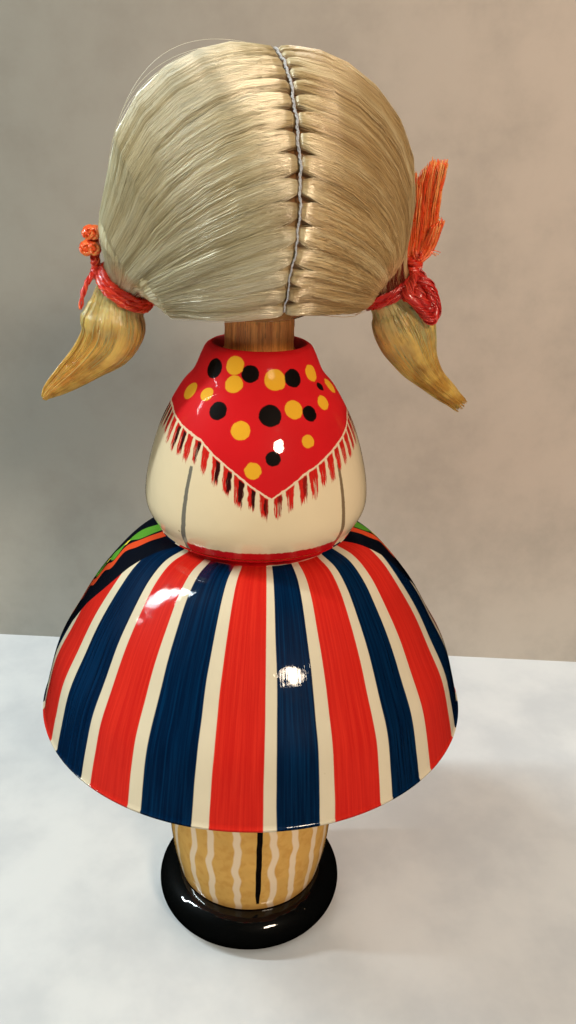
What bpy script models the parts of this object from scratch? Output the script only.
"""A turned wooden doll with a sewn wig, built as the separate pieces it is made of.

Sizes are in millimetres and are turned to metres when a shape is made. The doll stands on z = 0,
its axis is the Z axis, it faces -Y, and its head and neck dowel turn about +Z in the torso.
"""
import math

import bmesh
import bpy
from mathutils import Matrix, Vector

MM = 0.001

# Clearances
SEAT_GAP = 0.3              # between two pieces that rest on or sit in each other
BORE_GAP = 0.3              # all round a dowel or a tenon in its bore

# Base disc
BASE_RADIUS = 20.4
BASE_HEIGHT = 9.0

# Leg column
LEG_FOOT_RADIUS = 15.9
LEG_RADIUS = 17.8
LEG_LENGTH = 75.4           # above the base, without the tenon
LEG_SWELL_HEIGHT = 14.0     # from the foot up to the full radius
LEG_TOP_CHAMFER = 0.6
TENON_RADIUS = 7.0
TENON_LENGTH = 5.0

# Skirt, a hollow bell with a collar on its crown
SKIRT_RIM_RADIUS = 42.3
SKIRT_HEIGHT = 35.7
SKIRT_WALL = 4.5
SKIRT_CROWN = 5.5           # thickness of wood over the leg column
SKIRT_LEG_ROOM = 1.0        # round the top of the leg column, inside the bell
SKIRT_RIM_EDGE = 0.9
COLLAR_ROOT_RADIUS = 15.8
COLLAR_RADIUS = 18.1
COLLAR_HEIGHT = 2.2
# height share, and share of the way from the collar's root out to the rim
SKIRT_CURVE = (
    (1.0, 0.0), (0.985, 0.17), (0.93, 0.306), (0.846, 0.423), (0.678, 0.604),
    (0.51, 0.74), (0.342, 0.868), (0.16, 0.945), (0.0, 1.0),
)

# Waist dowel
WAIST_DOWEL_RADIUS = 5.0
WAIST_DOWEL_IN_LEGS = 10.0
WAIST_DOWEL_IN_TORSO = 10.0

# Torso
TORSO_RADIUS = 20.6
TORSO_HEIGHT = 34.0
TORSO_LIP_RADIUS = 7.4      # inner edge of the rounded neckline
TORSO_DISH = 1.2            # depth of the dished top
# height share, radius share
TORSO_CURVE = (
    (1.0, 0.415), (0.982, 0.458), (0.94, 0.495), (0.85, 0.563), (0.765, 0.68),
    (0.59, 0.84), (0.41, 0.942), (0.24, 1.0), (0.12, 0.993), (0.0, 0.888),
)

# Neck dowel and head
NECK_RADIUS = 6.15
NECK_LENGTH = 24.7
NECK_SOCKET_DEPTH = 11.0    # in the torso
NECK_IN_HEAD = 9.8
HEAD_RADIUS = 20.5
DOWEL_CHAMFER = 0.5

# Wig: a hank of fibre laid over the head, sewn down along its parting
HAIR_SIDE = 4.7             # thickness over each ear
HAIR_BACK = 4.1
HAIR_TOP = 2.4
WIG_DROP = 1.2              # the wig's middle lies this far below the head's
WIG_UNDERSIDE = 16.4        # below the wig's middle
HAIR_OPENING_WIDTH = 31.0   # round the face
HAIR_OPENING_RADIUS = 22.0  # of each side of the pointed opening
HAIR_OPENING_DROP = 2.8     # its widest place, below the wig's middle
HAIR_EDGE_DEPTH = 5.0       # the hair beside the face ends this far before the head's middle
PARTING_TURN = 5.0          # degrees; sewn a little to one side of the middle of the back
PARTING_START = -52.0       # degrees from the crown, towards the forehead
PARTING_END = 133.0         # degrees from the crown, down to the nape
THREAD_RADIUS = 0.28

# Bunches of hair below the ears
BUNCH_INSET = 2.5           # from the wig's side in to the middle of the tie
BUNCH_DROP = 13.5           # from the wig's middle down to the middle of the tie
BUNCH_LEAN = 30.0           # degrees out from straight down
BUNCH_DEPTH = 0.86          # a bunch is a little flat from front to back
GATHER_RADIUS = 9.0         # of the hair where it leaves the head towards the tie
GATHER_LENGTH = 7.5
GATHER_END_RADIUS = 4.7
GRIP_RADIUS = 4.2           # of the hair inside the tie
GRIP_LENGTH = 4.6
# reach outwards, drop, radius, all from the middle of the tie
BUNCH_LEFT = (
    (2.3, 3.9, 5.3), (3.2, 6.2, 5.35), (4.6, 8.9, 4.5), (7.5, 11.4, 3.1),
    (11.2, 14.2, 2.3), (13.9, 17.0, 1.4), (14.9, 19.2, 0.4),
)
BUNCH_RIGHT = (
    (2.3, 3.9, 5.2), (3.6, 6.6, 5.5), (4.9, 9.6, 4.9), (6.7, 12.9, 3.7),
    (9.6, 16.2, 2.4), (12.6, 18.7, 1.9), (15.0, 20.6, 1.3),
)

# Hair ties: a soft yarn wound twice round each bunch and knotted on the outside
YARN_RADIUS = 0.48          # of the winding
WINDING_TURNS = 2
WINDING_PITCH = 1.4
KNOT_RADIUS = 1.5
KNOT_LENGTH = 4.6
BOW_YARN_RADIUS = 0.62
TAIL_RADIUS = 0.55
# Points of the bows and ends: outwards, towards the back, up, all from the middle of the knot
LEFT_STEM = ((0.0, -0.4, 0.6), (0.3, -0.9, 2.2), (0.6, -1.0, 3.6), (0.8, -1.0, 5.8))
LEFT_BOWS = ((0.95, 3.6, 1.12), (0.75, 6.2, 0.9))     # outwards, up, half the height of the bow
LEFT_BOW_BACK = 1.2
LEFT_BOW_FRONT = -5.2
LEFT_TAIL = ((0.2, 0.8, -0.4), (1.1, 2.2, -2.0), (2.3, 3.2, -4.6), (3.2, 3.6, -7.2))
RIGHT_TUFT = (
    (0.0, -0.2, 0.4, 1.15), (0.3, -0.6, 3.4, 1.2), (1.0, -0.8, 6.4, 1.5),
    (1.2, -0.8, 10.2, 1.85), (1.3, -0.8, 14.0, 2.2), (1.5, -0.8, 18.0, 2.55),
)
RIGHT_LOOP = (
    (0.6, 0.8, -0.2), (2.6, 2.4, -1.0), (4.3, 4.0, -3.2), (4.7, 4.8, -6.0),
    (3.6, 5.6, -7.8), (2.2, 6.0, -6.6), (1.3, 5.4, -4.0), (0.5, 3.0, -1.4),
)

# Facets
TURNED_STEPS = 48
SKIRT_STEPS = 56
DOWEL_STEPS = 32
WIG_SEGMENTS = 32
WIG_RINGS = 20

# Heights that follow from the sizes
LEG_BOTTOM = BASE_HEIGHT + SEAT_GAP
LEG_TOP = LEG_BOTTOM + LEG_LENGTH
BELL_CEILING = LEG_TOP + SEAT_GAP
SKIRT_TOP = BELL_CEILING + SKIRT_CROWN
SKIRT_RIM = SKIRT_TOP - SKIRT_HEIGHT
COLLAR_TOP = SKIRT_TOP + COLLAR_HEIGHT
TORSO_BOTTOM = COLLAR_TOP + SEAT_GAP
TORSO_TOP = TORSO_BOTTOM + TORSO_HEIGHT
NECK_BOTTOM = TORSO_TOP - NECK_SOCKET_DEPTH + SEAT_GAP
NECK_TOP = NECK_BOTTOM + NECK_LENGTH
HEAD_BORE_RADIUS = NECK_RADIUS + BORE_GAP
HEAD_BORE_MOUTH = NECK_TOP + SEAT_GAP - NECK_IN_HEAD
HEAD_MIDDLE = HEAD_BORE_MOUTH + math.sqrt(HEAD_RADIUS ** 2 - HEAD_BORE_RADIUS ** 2)
WIG_MIDDLE = HEAD_MIDDLE - WIG_DROP
WIG_SIDE = HEAD_RADIUS + HAIR_SIDE
WIG_BACK = HEAD_RADIUS + HAIR_BACK
WIG_TOP = HEAD_RADIUS + HAIR_TOP + WIG_DROP
TIE_REACH = WIG_SIDE - BUNCH_INSET
TIE_HEIGHT = WIG_MIDDLE - BUNCH_DROP


def new_collection(name):
    """A collection in the scene."""
    collection = bpy.data.collections.new(name)
    bpy.context.scene.collection.children.link(collection)
    return collection


def new_material(name, colour, roughness, coat=0.0):
    """A Principled material for one piece."""
    material = bpy.data.materials.new(name)
    material.use_nodes = True
    shader = material.node_tree.nodes["Principled BSDF"]
    shader.inputs["Base Color"].default_value = (*colour, 1.0)
    shader.inputs["Roughness"].default_value = roughness
    shader.inputs["Coat Weight"].default_value = coat
    return material


def add_object(name, data, collection, material=None, parent=None):
    """Link an object, dress it and hang it on its parent without moving it."""
    obj = bpy.data.objects.new(name, data)
    collection.objects.link(obj)
    if material is not None:
        data.materials.append(material)
    if parent is not None:
        obj.parent = parent
        obj.matrix_parent_inverse = parent.matrix_world.inverted()
    return obj


def as_cutter(obj):
    """Mark an object as a tool that is not a piece of the doll."""
    obj.hide_render = True
    obj.display_type = "WIRE"
    return obj


def smooth_curve(points, steps):
    """Points on a Catmull-Rom curve through the given points, which it keeps."""
    knots = [Vector(p) for p in points]
    knots = [2 * knots[0] - knots[1]] + knots + [2 * knots[-1] - knots[-2]]
    curve = []
    for a, b, c, d in zip(knots, knots[1:], knots[2:], knots[3:]):
        for step in range(steps):
            t = step / steps
            curve.append(0.5 * (2 * b + (c - a) * t + (2 * a - 5 * b + 4 * c - d) * t * t
                                + (3 * b - a - 3 * c + d) * t ** 3))
    curve.append(knots[-2])
    return curve


def arc(centre_r, centre_z, radius, start, end, count):
    """Points (r, z) of an arc, with its angles in degrees from the outward direction."""
    points = []
    for index in range(count + 1):
        angle = math.radians(start + (end - start) * index / count)
        points.append((centre_r + radius * math.cos(angle), centre_z + radius * math.sin(angle)))
    return points


def turned(name, profile, steps, collection, material=None, closed=False, parent=None):
    """A lathe-turned piece: a profile (r, z), down its outer side, round the Z axis."""
    mesh = bpy.data.meshes.new(name)
    count = len(profile)
    edges = [(index, index + 1) for index in range(count - 1)]
    if closed:
        edges.append((count - 1, 0))
    mesh.from_pydata([(r * MM, 0.0, z * MM) for r, z in profile], edges, [])
    obj = add_object(name, mesh, collection, material, parent)
    screw = obj.modifiers.new("turn", "SCREW")
    screw.axis = "Z"
    screw.steps = steps
    screw.render_steps = steps
    screw.use_merge_vertices = True
    screw.merge_threshold = 0.00001
    screw.use_smooth_shade = True
    return obj


def tube(name, points, radii, collection, resolution=2, cyclic=False):
    """A round tube along points in millimetres, with a radius at each point."""
    curve = bpy.data.curves.new(name, "CURVE")
    curve.dimensions = "3D"
    curve.bevel_depth = MM
    curve.bevel_resolution = resolution
    curve.use_fill_caps = not cyclic
    spline = curve.splines.new("POLY")
    spline.points.add(len(points) - 1)
    spline.use_cyclic_u = cyclic
    for point, place, radius in zip(spline.points, points, radii):
        point.co = (*[value * MM for value in place], 1.0)
        point.radius = radius
    obj = bpy.data.objects.new(name, curve)
    collection.objects.link(obj)
    return obj


def curve_to_mesh(obj, collection, material=None, parent=None, scale=None):
    """Turn a tube into a closed mesh object of the same name, and drop the curve."""
    bpy.context.view_layer.update()
    graph = bpy.context.evaluated_depsgraph_get()
    mesh = bpy.data.meshes.new_from_object(obj.evaluated_get(graph))
    name = obj.name
    curve = obj.data
    bpy.data.objects.remove(obj)
    bpy.data.curves.remove(curve)
    shape = bmesh.new()
    shape.from_mesh(mesh)
    bmesh.ops.remove_doubles(shape, verts=shape.verts, dist=0.000005)
    if scale is not None:
        bmesh.ops.transform(shape, matrix=scale, verts=shape.verts)
    bmesh.ops.recalc_face_normals(shape, faces=shape.faces)
    shape.to_mesh(mesh)
    shape.free()
    mesh.name = name
    mesh.shade_smooth()
    return add_object(name, mesh, collection, material, parent)


def ball(name, centre, radii, segments, rings, collection, turn=None):
    """An ellipsoid."""
    shape = bmesh.new()
    bmesh.ops.create_uvsphere(shape, u_segments=segments, v_segments=rings, radius=1.0)
    place = Matrix.Translation(Vector(centre) * MM)
    if turn is not None:
        place = place @ turn
    size = Matrix.Diagonal((*[radius * MM for radius in radii], 1.0))
    bmesh.ops.transform(shape, matrix=place @ size, verts=shape.verts)
    mesh = bpy.data.meshes.new(name)
    shape.to_mesh(mesh)
    shape.free()
    mesh.shade_smooth()
    return add_object(name, mesh, collection)


def cut(piece, tool, operation="DIFFERENCE"):
    """Cut a piece with a tool, or join the tool to it."""
    boolean = piece.modifiers.new(tool.name, "BOOLEAN")
    boolean.operation = operation
    boolean.object = as_cutter(tool)
    boolean.solver = "EXACT"


def skirt_radius(share, root, rim):
    """Radius of the bell at a share of its height, for an outer or an inner skin."""
    shares = [point[0] for point in SKIRT_OUTLINE]
    for upper, lower in zip(SKIRT_OUTLINE, SKIRT_OUTLINE[1:]):
        if lower[0] <= share <= upper[0]:
            part = (share - lower[0]) / (upper[0] - lower[0])
            return root + (rim - root) * (lower[1] + (upper[1] - lower[1]) * part)
    return root if share > shares[0] else rim


SKIRT_OUTLINE = [tuple(point) for point in smooth_curve([(*p, 0.0) for p in SKIRT_CURVE], 2)]


def make_base(collection, material):
    """A disc with a fully rounded edge and a blind socket for the leg column's tenon."""
    half = BASE_HEIGHT / 2
    socket_radius = TENON_RADIUS + BORE_GAP
    socket_floor = BASE_HEIGHT - TENON_LENGTH - SEAT_GAP
    profile = [(0.0, socket_floor), (socket_radius, socket_floor), (socket_radius, BASE_HEIGHT)]
    profile += arc(BASE_RADIUS - half, half, half, 90, -90, 8)
    profile.append((0.0, 0.0))
    return turned("base_disc", profile, TURNED_STEPS, collection, material)


def make_legs(collection, material):
    """One turned column for both legs, with a tenon below and a dowel bore above."""
    bore_radius = WAIST_DOWEL_RADIUS + BORE_GAP
    bore_floor = LEG_TOP - WAIST_DOWEL_IN_LEGS - SEAT_GAP
    profile = [(0.0, bore_floor), (bore_radius, bore_floor), (bore_radius, LEG_TOP)]
    profile.append((LEG_RADIUS - LEG_TOP_CHAMFER, LEG_TOP))
    profile.append((LEG_RADIUS, LEG_TOP - LEG_TOP_CHAMFER))
    swell_steps = 6
    for index in range(swell_steps + 1):
        share = 1 - index / swell_steps
        radius = LEG_FOOT_RADIUS + (LEG_RADIUS - LEG_FOOT_RADIUS) * math.sin(share * math.pi / 2)
        profile.append((radius, LEG_BOTTOM + LEG_SWELL_HEIGHT * share))
    tenon_end = BASE_HEIGHT - TENON_LENGTH
    profile += [(TENON_RADIUS, LEG_BOTTOM), (TENON_RADIUS, tenon_end), (0.0, tenon_end)]
    return turned("leg_column", profile, TURNED_STEPS, collection, material)


def make_skirt(collection, material):
    """A hollow bell whose crown carries a flared collar and is bored for the waist dowel."""
    bore_radius = WAIST_DOWEL_RADIUS + BORE_GAP
    profile = [(bore_radius, COLLAR_TOP), (COLLAR_RADIUS, COLLAR_TOP)]
    collar_steps = 3
    for index in range(1, collar_steps):
        share = index / collar_steps
        flare = (1 - share) ** 2
        radius = COLLAR_ROOT_RADIUS + (COLLAR_RADIUS - COLLAR_ROOT_RADIUS) * flare
        profile.append((radius, COLLAR_TOP - COLLAR_HEIGHT * share))
    edge = SKIRT_RIM_EDGE
    for share, reach, _ in SKIRT_OUTLINE:
        height = SKIRT_RIM + SKIRT_HEIGHT * share
        if height > SKIRT_RIM + edge:
            radius = COLLAR_ROOT_RADIUS + (SKIRT_RIM_RADIUS - COLLAR_ROOT_RADIUS) * reach
            profile.append((radius, height))
    profile += arc(SKIRT_RIM_RADIUS - edge, SKIRT_RIM + edge, edge, 0, -90, 3)
    inner_rim = SKIRT_RIM_RADIUS - SKIRT_WALL
    profile += arc(inner_rim + edge, SKIRT_RIM + edge, edge, -90, -180, 2)
    inner_root = LEG_RADIUS + SKIRT_LEG_ROOM
    inner_height = SKIRT_HEIGHT - SKIRT_CROWN
    inner_steps = 8
    for index in range(1, inner_steps + 1):
        share = math.sin(index / inner_steps * math.pi / 2)
        radius = skirt_radius(share, inner_root, inner_rim)
        profile.append((radius, SKIRT_RIM + inner_height * share))
    profile.append((bore_radius, BELL_CEILING))
    return turned("skirt_bell", profile, SKIRT_STEPS, collection, material, closed=True)


def make_waist_dowel(collection, material):
    """A plain dowel through the skirt's crown, from the leg column up into the torso."""
    bottom = LEG_TOP - WAIST_DOWEL_IN_LEGS
    top = TORSO_BOTTOM + WAIST_DOWEL_IN_TORSO
    profile = dowel_profile(WAIST_DOWEL_RADIUS, bottom, top)
    return turned("waist_dowel", profile, DOWEL_STEPS, collection, material)


def dowel_profile(radius, bottom, top):
    """A dowel's profile, with both ends chamfered."""
    inner = radius - DOWEL_CHAMFER
    return [
        (0.0, top), (inner, top), (radius, top - DOWEL_CHAMFER),
        (radius, bottom + DOWEL_CHAMFER), (inner, bottom), (0.0, bottom),
    ]


def make_torso(collection, material):
    """Shoulders, arms and waist turned in one, with a socket for the neck above."""
    socket_radius = NECK_RADIUS + BORE_GAP
    socket_floor = TORSO_TOP - NECK_SOCKET_DEPTH
    dish = TORSO_TOP - TORSO_DISH
    profile = [(0.0, socket_floor), (socket_radius, socket_floor), (socket_radius, dish)]
    profile.append((TORSO_LIP_RADIUS, TORSO_TOP - TORSO_DISH / 4))
    for share, reach, _ in smooth_curve([(*p, 0.0) for p in TORSO_CURVE], 2):
        profile.append((TORSO_RADIUS * reach, TORSO_BOTTOM + TORSO_HEIGHT * share))
    bore_radius = WAIST_DOWEL_RADIUS + BORE_GAP
    bore_top = TORSO_BOTTOM + WAIST_DOWEL_IN_TORSO + SEAT_GAP
    profile += [(bore_radius, TORSO_BOTTOM), (bore_radius, bore_top), (0.0, bore_top)]
    return turned("torso", profile, TURNED_STEPS, collection, material)


def make_neck(collection, material, parent):
    """The dowel glued into the head, which turns in the torso's socket."""
    profile = dowel_profile(NECK_RADIUS, NECK_BOTTOM, NECK_TOP)
    return turned("neck_dowel", profile, DOWEL_STEPS, collection, material, parent=parent)


def make_head(collection, material, parent):
    """A turned ball, bored from below for the neck dowel."""
    mouth_angle = -math.degrees(math.acos(HEAD_BORE_RADIUS / HEAD_RADIUS))
    profile = [(0.0, HEAD_MIDDLE + HEAD_RADIUS)]
    profile += arc(0.0, HEAD_MIDDLE, HEAD_RADIUS, 90, mouth_angle, 13)[1:]
    bore_floor = HEAD_BORE_MOUTH + NECK_IN_HEAD
    profile += [(HEAD_BORE_RADIUS, bore_floor), (0.0, bore_floor)]
    return turned("head_ball", profile, TURNED_STEPS, collection, material, parent=parent)


def parting_points(count):
    """Points of the sewn parting, over the wig from the forehead to the nape."""
    turn = math.radians(PARTING_TURN)
    points = []
    for index in range(count + 1):
        angle = math.radians(PARTING_START + (PARTING_END - PARTING_START) * index / count)
        back = WIG_BACK * math.sin(angle)
        height = WIG_MIDDLE + WIG_TOP * math.cos(angle)
        points.append((-back * math.sin(turn), back * math.cos(turn), height))
    return points


def face_opening(cutters):
    """A pointed opening in the front of the hair, as a flat outline given some depth."""
    half = HAIR_OPENING_WIDTH / 2
    middle = WIG_MIDDLE - HAIR_OPENING_DROP
    inset = HAIR_OPENING_RADIUS - half
    tip_angle = math.degrees(math.acos(inset / HAIR_OPENING_RADIUS))
    side = arc(-inset, middle, HAIR_OPENING_RADIUS, tip_angle, -tip_angle, 16)
    outline = side + [(-x, z) for x, z in reversed(side[1:-1])]
    front = -(WIG_BACK + HAIR_SIDE)
    depth = -HAIR_EDGE_DEPTH - front
    shape = bmesh.new()
    corners = [shape.verts.new((x * MM, front * MM, z * MM)) for x, z in outline]
    face = shape.faces.new(corners)
    pushed = bmesh.ops.extrude_face_region(shape, geom=[face])["geom"]
    moved = [item for item in pushed if isinstance(item, bmesh.types.BMVert)]
    bmesh.ops.translate(shape, vec=(0.0, depth * MM, 0.0), verts=moved)
    bmesh.ops.recalc_face_normals(shape, faces=shape.faces)
    mesh = bpy.data.meshes.new("face_opening")
    shape.to_mesh(mesh)
    shape.free()
    return add_object("face_opening", mesh, cutters)


def gather(name, side, cutters):
    """The hair that sweeps from the head down to a tie, as a short cone."""
    shape = bmesh.new()
    bmesh.ops.create_cone(
        shape, cap_ends=True, segments=24, radius1=GATHER_END_RADIUS * MM,
        radius2=GATHER_RADIUS * MM, depth=GATHER_LENGTH * MM,
    )
    lean = math.radians(BUNCH_LEAN)
    back_off = GRIP_LENGTH / 2 + SEAT_GAP + GATHER_LENGTH / 2
    reach = TIE_REACH - back_off * math.sin(lean)
    height = TIE_HEIGHT + back_off * math.cos(lean)
    flat = Matrix.Diagonal((1.0, BUNCH_DEPTH, 1.0, 1.0))
    turn = Matrix.Rotation(-side * lean, 4, "Y")
    place = Matrix.Translation(Vector((side * reach, 0.0, height)) * MM)
    bmesh.ops.transform(shape, matrix=place @ turn @ flat, verts=shape.verts)
    mesh = bpy.data.meshes.new(name)
    shape.to_mesh(mesh)
    shape.free()
    return add_object(name, mesh, cutters)


def tie_room(name, side, cutters):
    """Room for the tie and the bunch where they press into the hair beside them."""
    radius = GRIP_RADIUS + 2 * SEAT_GAP + 2 * YARN_RADIUS
    length = 2 * GATHER_RADIUS
    shape = bmesh.new()
    bmesh.ops.create_cone(shape, cap_ends=True, segments=24, radius1=radius * MM,
                          radius2=radius * MM, depth=length * MM)
    lean = math.radians(BUNCH_LEAN)
    forward = length / 2 - GRIP_LENGTH / 2 - SEAT_GAP
    reach = TIE_REACH + forward * math.sin(lean)
    height = TIE_HEIGHT - forward * math.cos(lean)
    turn = Matrix.Rotation(-side * lean, 4, "Y")
    place = Matrix.Translation(Vector((side * reach, 0.0, height)) * MM)
    bmesh.ops.transform(shape, matrix=place @ turn, verts=shape.verts)
    mesh = bpy.data.meshes.new(name)
    shape.to_mesh(mesh)
    shape.free()
    return add_object(name, mesh, cutters)


def make_wig(collection, cutters, material, parent):
    """The cap of hair round the head ball, with the sewn parting and the gathered sides."""
    wig = ball("wig", (0.0, 0.0, WIG_MIDDLE), (WIG_SIDE, WIG_BACK, WIG_TOP), WIG_SEGMENTS,
               WIG_RINGS, collection)
    wig.data.materials.append(material)
    wig.parent = parent
    wig.matrix_parent_inverse = parent.matrix_world.inverted()
    for name, side in (("gather_left", 1), ("gather_right", -1)):
        cut(wig, gather(name, side, cutters), "UNION")
    room = HEAD_RADIUS + SEAT_GAP
    head_place = (0.0, 0.0, HEAD_MIDDLE)
    cut(wig, ball("head_room", head_place, (room, room, room), WIG_SEGMENTS, WIG_RINGS, cutters))
    for name, side in (("tie_room_left", 1), ("tie_room_right", -1)):
        cut(wig, tie_room(name, side, cutters))
    cut(wig, face_opening(cutters))
    below = bmesh.new()
    size = 3 * WIG_SIDE
    bmesh.ops.create_cube(below, size=size * MM)
    top = WIG_MIDDLE - WIG_UNDERSIDE
    bmesh.ops.translate(below, vec=(0.0, 0.0, (top - size / 2) * MM), verts=below.verts)
    mesh = bpy.data.meshes.new("underside")
    below.to_mesh(mesh)
    below.free()
    cut(wig, add_object("underside", mesh, cutters))
    count = 30
    groove = tube("parting_groove", parting_points(count), [THREAD_RADIUS + SEAT_GAP] * (count + 1),
                  cutters)
    cut(wig, curve_to_mesh(groove, cutters))
    return wig


def make_thread(collection, material, parent):
    """The sewing thread, lying in the parting."""
    count = 30
    points = parting_points(count)[1:-1]
    thread = tube("parting_thread", points, [THREAD_RADIUS] * len(points), collection, 1)
    return curve_to_mesh(thread, collection, material, parent)


def make_bunch(name, side, course, collection, material, parent):
    """A stiffened bunch of hair: a narrow grip inside the tie, a swell and a curved point."""
    lean = math.radians(BUNCH_LEAN)
    half = GRIP_LENGTH / 2
    knots = [(-half * math.sin(lean), -half * math.cos(lean), GRIP_RADIUS)]
    knots.append((half * math.sin(lean), half * math.cos(lean), GRIP_RADIUS))
    knots += course
    points = []
    radii = []
    for reach, drop, radius in smooth_curve(knots, 2):
        points.append((side * (TIE_REACH + reach), 0.0, TIE_HEIGHT - drop))
        radii.append(radius)
    flat = Matrix.Diagonal((1.0, BUNCH_DEPTH, 1.0, 1.0))
    bunch = tube(name, points, radii, collection, 4)
    return curve_to_mesh(bunch, collection, material, parent, flat)


def knot_place(side):
    """Middle of a knot, on the outer upper side of the winding."""
    lean = math.radians(BUNCH_LEAN)
    out = GRIP_RADIUS + SEAT_GAP + YARN_RADIUS + KNOT_RADIUS
    return Vector((side * (TIE_REACH + out * math.cos(lean)), 0.0, TIE_HEIGHT + out * math.sin(lean)))


def winding_points(side):
    """Points of the yarn wound round a bunch, starting and ending inside its knot."""
    lean = math.radians(BUNCH_LEAN)
    outward = Vector((side * math.cos(lean), 0.0, math.sin(lean)))
    along = Vector((side * math.sin(lean), 0.0, -math.cos(lean)))
    back = Vector((0.0, 1.0, 0.0))
    middle = Vector((side * TIE_REACH, 0.0, TIE_HEIGHT))
    reach = GRIP_RADIUS + SEAT_GAP + YARN_RADIUS
    per_turn = 24
    points = []
    for index in range(WINDING_TURNS * per_turn + 1):
        turn = index / per_turn
        angle = 2 * math.pi * turn
        deep = BUNCH_DEPTH + (1 - BUNCH_DEPTH) * (SEAT_GAP + YARN_RADIUS) / reach
        ring = outward * math.cos(angle) + back * math.sin(angle) * deep
        points.append(middle + ring * reach + along * WINDING_PITCH * (turn - WINDING_TURNS / 2))
    points.insert(0, points[0] + outward * KNOT_RADIUS)
    points.append(points[-1] + outward * KNOT_RADIUS)
    return points


def least_gap(points, radius):
    """Least clear distance between stretches of a tube that are not next to each other."""
    apart = 8
    gaps = []
    for index, point in enumerate(points):
        for other in points[index + apart:]:
            gaps.append((point - other).length - 2 * radius)
    return min(gaps)


def from_knot(side, points):
    """Points given outwards, towards the back and up from a knot, placed on the doll."""
    knot = knot_place(side)
    return [knot + Vector((side * out, back, up)) for out, back, up in points]


def bow_loop(name, side, out, up, half, cutters):
    """A loop of yarn that stands forwards and backwards from the stem of a bow."""
    middle = (LEFT_BOW_BACK + LEFT_BOW_FRONT) / 2
    length = (LEFT_BOW_BACK - LEFT_BOW_FRONT) / 2
    count = 24
    offsets = []
    for index in range(count):
        angle = 2 * math.pi * index / count
        offsets.append((out, middle + length * math.cos(angle), up + half * math.sin(angle)))
    loop = tube(name, from_knot(side, offsets), [BOW_YARN_RADIUS] * count, cutters, 1, True)
    return curve_to_mesh(loop, cutters)


def make_tie(name, side, ends, collection, cutters, material, parent):
    """A yarn wound round a bunch, its knot, and the loops and ends that stand from the knot."""
    points = winding_points(side)
    print(name, "least gap in the winding, mm:", round(least_gap(points[1:-1], YARN_RADIUS), 3))
    winding = tube(name, points, [YARN_RADIUS] * len(points), collection, 1)
    tie = curve_to_mesh(winding, collection, material, parent)
    lean = Matrix.Rotation(-side * math.radians(BUNCH_LEAN), 4, "Y")
    radii = (KNOT_RADIUS, KNOT_RADIUS, KNOT_LENGTH / 2)
    cut(tie, ball(name + "_knot", knot_place(side), radii, 12, 8, cutters, lean), "UNION")
    for end in ends:
        cut(tie, end, "UNION")
    return tie


def left_ends(cutters):
    """Two small bows on a stem, and a hanging tail."""
    side = 1
    stem = smooth_curve(from_knot(side, LEFT_STEM), 2)
    tail = smooth_curve(from_knot(side, LEFT_TAIL), 2)
    ends = [
        curve_to_mesh(tube("left_stem", stem, [BOW_YARN_RADIUS] * len(stem), cutters), cutters),
        curve_to_mesh(tube("left_tail", tail, [TAIL_RADIUS] * len(tail), cutters), cutters),
    ]
    for index, (out, up, half) in enumerate(LEFT_BOWS):
        ends.append(bow_loop("left_bow_%d" % (index + 1), side, out, up, half, cutters))
    return ends


def right_ends(cutters):
    """A frayed tuft standing up, and one loop folded down over the bunch."""
    side = -1
    tuft = smooth_curve([(*place, radius) for *place, radius in RIGHT_TUFT], 2)
    places = from_knot(side, [point[:3] for point in tuft])
    radii = [point[3] for point in tuft]
    loop = smooth_curve(from_knot(side, RIGHT_LOOP), 2)
    return [
        curve_to_mesh(tube("right_tuft", places, radii, cutters, 4), cutters),
        curve_to_mesh(tube("right_loop", loop, [BOW_YARN_RADIUS] * len(loop), cutters), cutters),
    ]


def main():
    """Clear the scene and make the doll."""
    for obj in list(bpy.data.objects):
        bpy.data.objects.remove(obj)
    pieces = new_collection("wooden_doll")
    cutters = new_collection("cutters")

    black = new_material("black_lacquer", (0.012, 0.011, 0.012), 0.12, 1.0)
    stocking = new_material("stocking_paint", (0.62, 0.40, 0.13), 0.25, 0.8)
    skirt = new_material("skirt_paint", (0.60, 0.05, 0.03), 0.15, 1.0)
    blouse = new_material("blouse_paint", (0.66, 0.60, 0.45), 0.2, 1.0)
    wood = new_material("bare_wood", (0.48, 0.27, 0.12), 0.5)
    skin = new_material("face_paint", (0.80, 0.52, 0.34), 0.3, 0.6)
    hair = new_material("flaxen_hair", (0.58, 0.46, 0.24), 0.35)
    amber = new_material("stiffened_hair", (0.55, 0.29, 0.06), 0.25, 0.5)
    thread = new_material("sewing_thread", (0.55, 0.55, 0.56), 0.6)
    yarn = new_material("tie_yarn", (0.62, 0.05, 0.02), 0.55)

    make_base(pieces, black)
    make_legs(pieces, stocking)
    make_skirt(pieces, skirt)
    make_waist_dowel(pieces, wood)
    make_torso(pieces, blouse)

    turning = bpy.data.objects.new("head_turn", None)
    turning.location = (0.0, 0.0, NECK_BOTTOM * MM)
    pieces.objects.link(turning)
    bpy.context.view_layer.update()

    make_neck(pieces, wood, turning)
    make_head(pieces, skin, turning)
    make_wig(pieces, cutters, hair, turning)
    make_thread(pieces, thread, turning)
    make_bunch("pigtail_left", 1, BUNCH_LEFT, pieces, amber, turning)
    make_bunch("pigtail_right", -1, BUNCH_RIGHT, pieces, amber, turning)
    make_tie("hair_tie_left", 1, left_ends(cutters), pieces, cutters, yarn, turning)
    make_tie("hair_tie_right", -1, right_ends(cutters), pieces, cutters, yarn, turning)


main()
